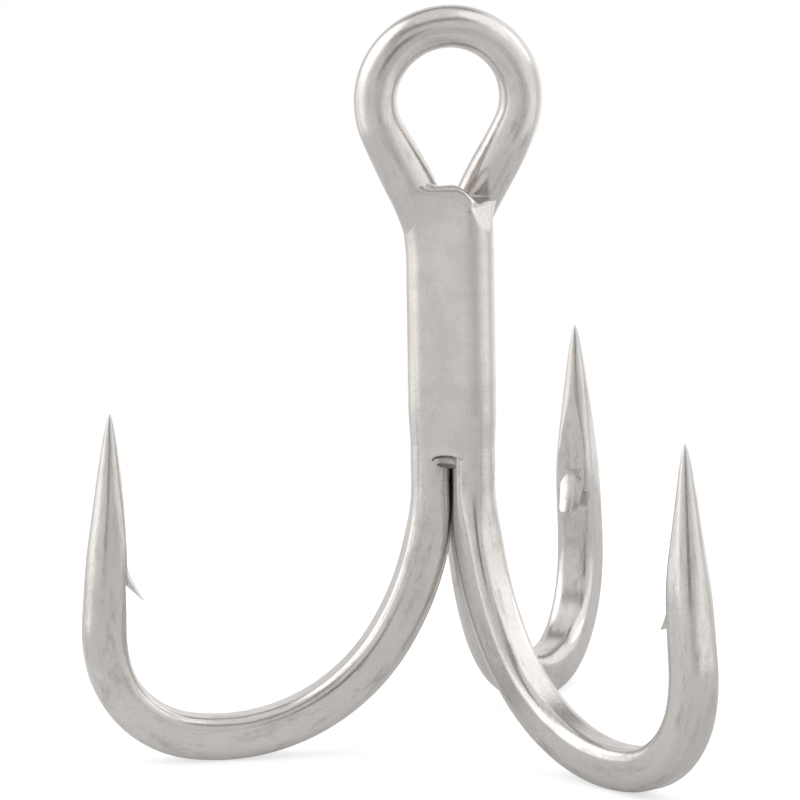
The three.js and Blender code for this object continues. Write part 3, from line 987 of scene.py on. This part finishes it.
def add(tree, kind, settings=None, inputs=None, output=0):
    """Adds any node: its settings first, then the values or links of its sockets."""
    node = tree.nodes.new(kind)
    for name, value in (settings or {}).items():
        setattr(node, name, value)
    for name, value in (inputs or {}).items():
        if isinstance(value, Socket):
            tree.links.new(value.output, node.inputs[name])
        else:
            node.inputs[name].default_value = value
    return Socket(tree, node.outputs[output])


print("a Socket knows:", [name for name in vars(Socket) if not name.startswith("__")])

# %% [markdown]
# ## Tin plating
# Hot-dipped tin is a bright, slightly warm grey metal. It is never perfectly even: the coat
# clouds in soft patches, mottles, and pits where the steel under it was rough. Noise that is
# cut to a soft edge gives all three, at three sizes. They change the colour and the gloss a
# little, and the mottle and the pits are also bumps of a few thousandths of a millimetre.

# %% Plated metal
TIN = (0.665, 0.635, 0.612, 1)
DULL_TIN = (0.55, 0.522, 0.5, 1)
# The noise of each unevenness has its waves in a millimetre, and an edge: the values over which
# its patches come in.
CLOUDS = {"per_mm": 0.5, "detail": 6.0, "roughness": 0.65, "edge": (0.35, 0.68)}
MOTTLE = {"per_mm": 5.0, "detail": 3.0, "roughness": 0.55, "edge": (0.45, 0.75)}
PITS = {"per_mm": 9.0, "detail": 2.0, "roughness": 0.55, "edge": (0.6, 0.8)}
WAVES = {"per_mm": 1.6, "detail": 3.0, "roughness": 0.55}  # no patches, only height
BUMP_STRENGTH = 0.25
BUMP_DISTANCE = 0.03 * MM


def object_point(tree):
    return add(tree, "ShaderNodeTexCoord", output="Object")


def blend_colors(tree, share, first, second):
    settings = {"data_type": "RGBA"}
    return add(tree, "ShaderNodeMix", settings, {0: share, 6: first, 7: second}, output=2)


def noise(point, per_mm, detail, roughness):
    inputs = {"Vector": point, "Scale": per_mm / MM, "Detail": detail, "Roughness": roughness}
    return add(point.tree, "ShaderNodeTexNoise", inputs=inputs)


def patches(point, edge, **kind):
    """Noise cut to a soft edge: 1 in its patches, and 0 between them."""
    return noise(point, **kind).between(*edge)


def plated(name, dullness, gloss, marks):
    """A tin coat. Dullness is how much of it is clouded, and gloss its polished roughness.

    Marks is a function that changes its colour, roughness and height once more.
    """
    material = bpy.data.materials.new(name)
    material.use_nodes = True
    tree = material.node_tree
    point = object_point(tree)
    clouds, mottle, pits = (patches(point, **kind) for kind in (CLOUDS, MOTTLE, PITS))
    dull = clouds * dullness + mottle * 0.25 + pits * 0.25
    color = blend_colors(tree, dull, TIN, DULL_TIN)
    rough = gloss + clouds * 0.07 + mottle * 0.04 + pits * 0.1
    height = mottle * 0.3 - pits * 0.4 + noise(point, **WAVES) * 0.8
    color, rough, height = marks(point, color, rough, height)
    bumps = {"Height": height, "Strength": BUMP_STRENGTH, "Distance": BUMP_DISTANCE}
    normal = add(tree, "ShaderNodeBump", inputs=bumps)
    shader = tree.nodes["Principled BSDF"]
    shader.inputs["Metallic"].default_value = 1.0
    for socket, source in (("Base Color", color), ("Roughness", rough), ("Normal", normal)):
        tree.links.new(source.output, shader.inputs[socket])
    return material


print("tin reflects", [round(value, 2) for value in TIN[:3]], "of red, green and blue")

# %% [markdown]
# ## Wire finish
# The drawn wire has fine scratches along it, from the dies and from tumbling against other
# hooks, and faint stains that are drawn out the same way. Both are noise on the skin's map of
# lengths, stretched along the wire.

# %% Marks on the wires
STAIN = (0.4, 0.375, 0.355, 1)
STAIN_EDGE = (0.48, 0.72)
STRETCH = 0.35  # waves in a millimetre of wire
SCRATCH_WAVES = 5.0  # in a millimetre around it
STAIN_WAVES = 1.5


def along_wire(tree, waves_around, **kind):
    lengths = add(tree, "ShaderNodeUVMap", {"uv_map": "wire_length"})
    stretched = {"Vector": lengths, "Scale": (STRETCH, waves_around, 1.0)}
    place = add(tree, "ShaderNodeMapping", {"vector_type": "POINT"}, stretched)
    return add(tree, "ShaderNodeTexNoise", inputs={"Vector": place, **kind})


def wire_marks(point, color, rough, height):
    tree = point.tree
    scratches = along_wire(tree, SCRATCH_WAVES, Scale=2.0, Detail=3.0)
    stains = along_wire(tree, STAIN_WAVES, Scale=1.0, Detail=8.0, Roughness=0.75)
    stains = stains.between(*STAIN_EDGE)
    color = blend_colors(tree, stains * 0.8, color, STAIN)
    return color, rough + stains * 0.1, height + scratches * 0.5


tinned_wire = plated("tinned_wire", dullness=0.35, gloss=0.17, marks=wire_marks)
for piece in (double_hook, single_hook):
    piece.data.materials.clear()
    piece.data.materials.append(tinned_wire)
print("nodes in the wire's finish:", len(tinned_wire.node_tree.nodes))

# %% [markdown]
# ## Braze finish
# The tin over the braze metal is duller, since that metal froze with a grain of its own. Around
# the rim of the pit, and more faintly inside it, a dark line of painted shade stands for the shade
# under the pit's overhanging rim.

# %% Painted shade around the braze metal's pit
# Painted shade: the dark colour laid on the pit's rim and inside it, where the rim overhangs.
PIT_SHADE_COLOR = (0.12, 0.11, 0.1, 1)
# The painted shade comes in and goes out by the square of the distance from the pit's middle. Its
# rim is 1.
LINE_START = (0.3, 0.8)
LINE_END = (0.9, 1.2)
LINE_INSIDE = 0.4  # how much of it there is inside the pit
FRONT_ONLY = (0, 0.5 * MM)  # how far out towards the front groove it comes in


# Painted shade: darkens the pit's rim and, more faintly, its inside, on the front groove only.
def painted_pit_shade(point, color, rough, height):
    across, _, down = zip(PIT_AXES, PIT_MIDDLE, PIT_HALF)
    scaled = [(point.dot(axis / MM) - middle) / half for axis, middle, half in (across, down)]
    away = scaled[0] * scaled[0] + scaled[1] * scaled[1]
    line = away.between(*LINE_START) * (1 - LINE_INSIDE) + LINE_INSIDE
    line = line * (1 - away.between(*LINE_END)) * point.dot(GROOVE_OUT).between(*FRONT_ONLY)
    color = blend_colors(point.tree, line * 0.85, color, PIT_SHADE_COLOR)
    return color, rough + line * 0.3, height


# The braze metal's tin carries the painted shade around its pit.
tinned_braze = plated("tinned_braze", dullness=0.6, gloss=0.22, marks=painted_pit_shade)
braze_metal.data.materials.append(tinned_braze)
print("nodes in the braze metal's finish:", len(tinned_braze.node_tree.nodes))

# %% [markdown]
# ## Riding on the body, in place of the fixed pieces
# Each finished piece rides on the one rigid body, and the plain solids that it stands for, which
# the construction uses for weight and contact, are hidden. The braze metal stands for five of
# them, since on a real hook they are one run of metal.

# %% Ride and replace
STANDS_FOR = {
    "double_hook": ["double_hook_wire"],
    "single_hook": ["single_hook_wire"],
    "braze_metal": [
        "front_braze_fillet",
        "left_rear_braze_fillet",
        "right_rear_braze_fillet",
        "braze_core",
        "eye_throat_web",
    ],
}
for name, piece in PIECES.items():
    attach(piece, "root")
    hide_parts(*STANDS_FOR[name])
print("pieces:", list(PIECES))

# %% [markdown]
# ## Floor
# The hook stands on the bottoms of its three bends, on a round table. The table's paint takes
# the hook's soft shadow. A glow is added to it for the camera, which lifts the bare table to
# the white of the background, and a weaker one for reflections in the metal. That one is a
# little stronger in a patch under the left hook, as if a card lay there.

# %% Floor
FLOOR_RADIUS = 75 * MM
FLOOR_SIDES = 96
FLOOR_GAP = 0.02 * MM
TABLE_PAINT = (0.52, 0.52, 0.52, 1)
BLACK = (0, 0, 0, 1)
WHITE = (1, 1, 1, 1)
SEEN_GLOW = 0.62
MIRRORED_GLOW = 0.2
PATCH_GLOW = 0.1
PATCH_MIDDLE = (-22 * MM, -3 * MM, 0.0)
PATCH_EDGE = (10 * MM, 30 * MM)


def floor_material():
    material = bpy.data.materials.new("pale_floor")
    material.use_nodes = True
    tree = material.node_tree
    tree.nodes.clear()
    seen = add(tree, "ShaderNodeLightPath", output="Is Camera Ray")
    mirrored = add(tree, "ShaderNodeLightPath", output="Is Glossy Ray")
    from_patch = object_point(tree).vector("DISTANCE", PATCH_MIDDLE, "Value")
    mirrored_glow = (1 - from_patch.between(*PATCH_EDGE)) * PATCH_GLOW + MIRRORED_GLOW
    share = seen * SEEN_GLOW + mirrored * mirrored_glow
    paint = add(tree, "ShaderNodeBsdfDiffuse", inputs={"Color": TABLE_PAINT})
    none = add(tree, "ShaderNodeEmission", inputs={"Color": BLACK, "Strength": 0.0})
    glow = add(tree, "ShaderNodeEmission", inputs={"Color": WHITE, "Strength": 1.0})
    lift = add(tree, "ShaderNodeMixShader", inputs={0: share, 1: none, 2: glow})
    both = add(tree, "ShaderNodeAddShader", inputs={0: paint, 1: lift})
    target = tree.nodes.new("ShaderNodeOutputMaterial")
    tree.links.new(both.output, target.inputs["Surface"])
    return material


floor_mesh = bpy.data.meshes.new("floor")
turns = [2 * math.pi * i / FLOOR_SIDES for i in range(FLOOR_SIDES)]
corners = [(FLOOR_RADIUS * math.cos(t), FLOOR_RADIUS * math.sin(t), 0) for t in turns]
floor_mesh.from_pydata(corners, [], [list(range(FLOOR_SIDES))])
floor = new_piece("floor", floor_mesh)
floor.location.z = cad_bounds[0][2] - FLOOR_GAP
floor_mesh.materials.append(floor_material())
print(f"the floor lies at {floor.location.z / MM:.2f} mm")

# %% [markdown]
# ## Camera
# A long lens from far away keeps the hook's upright lines parallel, as a catalogue picture
# does. The camera looks slightly down, from a little to the left of the front.

# %% Camera
VIEW_AZIMUTH = math.radians(-9.25)
VIEW_ELEVATION = 12.04  # degrees
VIEW_ROLL = 0.0146  # radians
VIEW_DISTANCE = 704.2
FRAME_WIDTH = 46.95  # seen at that distance
SENSOR_WIDTH = 36.0
NEAR_CLIP = 0.01  # metres
LOOK_DEPTH = 22.13
LOOK_SHIFT = (-3.312, 4.119)  # right and up from the point on the shank's axis


def direction_of(azimuth, elevation=0):
    """A direction from the hook, in degrees: azimuth from the viewer to the right, and up."""
    heading = VIEW_AZIMUTH + math.radians(azimuth)
    level = math.cos(math.radians(elevation))
    height = math.sin(math.radians(elevation))
    return (math.sin(heading) * level, -math.cos(heading) * level, height)


back_way = Vector(direction_of(0, VIEW_ELEVATION))
right_way = Vector((math.cos(VIEW_AZIMUTH), math.sin(VIEW_AZIMUTH), 0))
up_way = back_way.cross(right_way)
aim = Vector((0, 0, -LOOK_DEPTH)) + right_way * LOOK_SHIFT[0] + up_way * LOOK_SHIFT[1]
camera_right = right_way * math.cos(VIEW_ROLL) - up_way * math.sin(VIEW_ROLL)
camera_up = right_way * math.sin(VIEW_ROLL) + up_way * math.cos(VIEW_ROLL)
camera_data = bpy.data.cameras.new("camera")
camera_data.sensor_width = SENSOR_WIDTH
camera_data.lens = SENSOR_WIDTH * VIEW_DISTANCE / FRAME_WIDTH
camera_data.clip_start = NEAR_CLIP
camera = bpy.data.objects.new("camera", camera_data)
turn = Matrix((camera_right, camera_up, back_way)).transposed().to_4x4()
camera.matrix_world = Matrix.Translation((aim + back_way * VIEW_DISTANCE) * MM) @ turn
bpy.context.scene.collection.objects.link(camera)
bpy.context.scene.camera = camera
print(f"lens {camera_data.lens:.0f} mm at {VIEW_DISTANCE:.0f} mm")

# %% [markdown]
# ## Studio
# Metal shows its surroundings, so the surroundings are the finish. Here they are nearly white,
# and a little darker behind the viewer, so that faces turned to the viewer read as grey metal.
# Brighter zones at the sides draw light strips down the edges of the wires. High up, a dark
# band below a pale ceiling draws the dark lines along the tops of the bends and the eye. One
# painted surroundings map could do all this, but zones written as numbers can be moved singly.

# %% World
SURROUND = 0.95  # radiance all around, where nothing else is named
RIM = 0.36  # the dark band below the ceiling
RIM_EDGE = (0.55, 0.72)  # sines of the elevations over which it comes in
CEILING = 0.92
CEILING_EDGE = (0.80, 0.88)
# Each zone has its azimuth from the viewer, to the right, the half widths at which it is full
# and gone, all in degrees, and the radiance that it adds.
ZONES = [
    (0, 45, 75, -0.20),
    (0, 16, 38, 0.05),
    (-98, 16, 40, 0.31),
    (-146, 8, 24, -0.14),
    (64, 12, 34, 0.24),
    (116, 8, 26, -0.10),
    (-62, 14, 42, 0.14),
    (140, 8, 24, 0.26),
]
# Each spot has its azimuth and elevation, the same half widths, and the radiance it brings.
SPOTS = [
    (-100, 32, 24, 38, 1.75),
    (94, 44, 25, 36, 1.45),
    (18.5, -12, 8, 20, 0.67),
    (-1, 9, 6, 15, 0.22),
]


def cosines(full, gone):
    return math.cos(math.radians(gone)), math.cos(math.radians(full))


def studio_radiance(direction):
    """How bright the surroundings are in a direction."""
    level_way = direction.vector("MULTIPLY", (1, 1, 0)).vector("NORMALIZE")
    level = SURROUND
    for azimuth, full, gone, added in ZONES:
        toward = level_way.dot(direction_of(azimuth))
        level = toward.between(*cosines(full, gone)) * added + level
    height = direction.dot(UP)
    level = level + height.between(*RIM_EDGE) * (RIM - level)
    level = level + height.between(*CEILING_EDGE) * (CEILING - RIM)
    for azimuth, elevation, full, gone, radiance in SPOTS:
        toward = direction.dot(direction_of(azimuth, elevation))
        level = level + toward.between(*cosines(full, gone)) * (radiance - level)
    return level


world = bpy.data.worlds.new("studio")
bpy.context.scene.world = world
world.use_nodes = True
tree = world.node_tree
tree.nodes.clear()
radiance = studio_radiance(add(tree, "ShaderNodeTexCoord", output="Generated"))
seen = add(tree, "ShaderNodeLightPath", output="Is Camera Ray")
lit = add(tree, "ShaderNodeBackground", inputs={"Color": WHITE, "Strength": radiance})
white = add(tree, "ShaderNodeBackground", inputs={"Color": WHITE, "Strength": 1.0})
mixed = add(tree, "ShaderNodeMixShader", inputs={0: seen, 1: lit, 2: white})
target = tree.nodes.new("ShaderNodeOutputWorld")
tree.links.new(mixed.output, target.inputs["Surface"])
print("world:", world.name, "with", len(tree.nodes), "nodes")

# %% [markdown]
# ## Panels of light
# The surroundings give the reflections, and two soft panels, one on each side, give the light
# that falls on the table. An area lamp is such a panel. Its power follows from how bright its
# face should look.

# %% Panels of light
PANEL_DISTANCE = 0.6  # metres, as are the widths and heights
SHANK_MIDDLE = Vector((0, 0, -LOOK_DEPTH * MM))
# Each panel has its name, azimuth, elevation, width, height and radiance.
PANELS = [("right_panel", 108, 24, 0.2, 0.26, 0.7), ("left_panel", -98, 44, 0.5, 0.4, 0.2)]


def panel(name, azimuth, elevation, width, height, brightness):
    way = Vector(direction_of(azimuth, elevation))
    lamp = bpy.data.lights.new(name, "AREA")
    lamp.shape = "RECTANGLE"
    lamp.size, lamp.size_y = width, height
    lamp.energy = brightness * math.pi * width * height
    shown = bpy.data.objects.new(name, lamp)
    shown.location = SHANK_MIDDLE + way * PANEL_DISTANCE
    shown.rotation_euler = way.to_track_quat("Z", "Y").to_euler()
    bpy.context.scene.collection.objects.link(shown)


for settings in PANELS:
    panel(*settings)
print("panels:", [settings[0] for settings in PANELS])

# %% [markdown]
# ## Finish
# The picture's colours are kept as they are mixed, with no film look.

# %% Finish
bpy.context.scene.view_settings.view_transform = "Standard"
bpy.context.view_layer.update()
